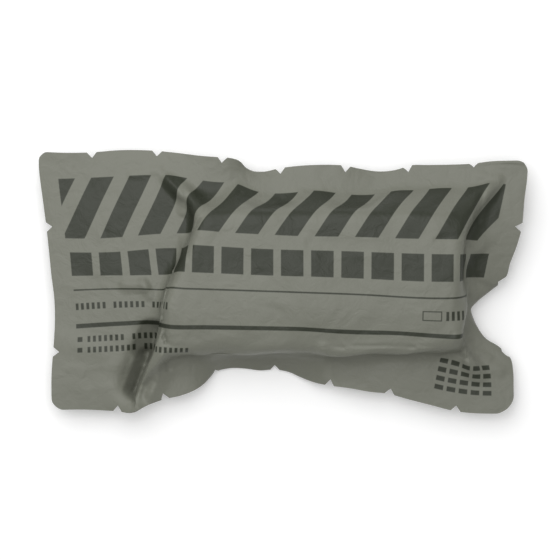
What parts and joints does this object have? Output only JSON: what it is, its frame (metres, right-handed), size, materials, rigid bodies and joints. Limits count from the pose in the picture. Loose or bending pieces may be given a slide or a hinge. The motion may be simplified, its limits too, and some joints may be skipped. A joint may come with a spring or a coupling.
{
  "type": "emergency trauma bandage in a sealed pouch",
  "caption": "Compressed emergency bandage roll vacuum packed in an olive grey laminate pouch with a flat heat seal all round and V notches for tearing.",
  "frame": {"origin": "bottom centre of the bounding box, on the surface that the pouch lies on", "axes": "+X along the pouch, from its wide tab to its pinched end; +Y across it, towards the upper edge of its print; +Z out of its printed front"},
  "size_m": [0.1879, 0.1014, 0.0279],
  "materials": {
    "film": "satin wrinkled laminate, olive grey with dark print",
    "gauze": "compressed woven bandage"
  },
  "bodies": {
    "root": {"front_film": "film", "back_film": "film", "bandage_roll": "gauze"}
  },
  "joints": []
}
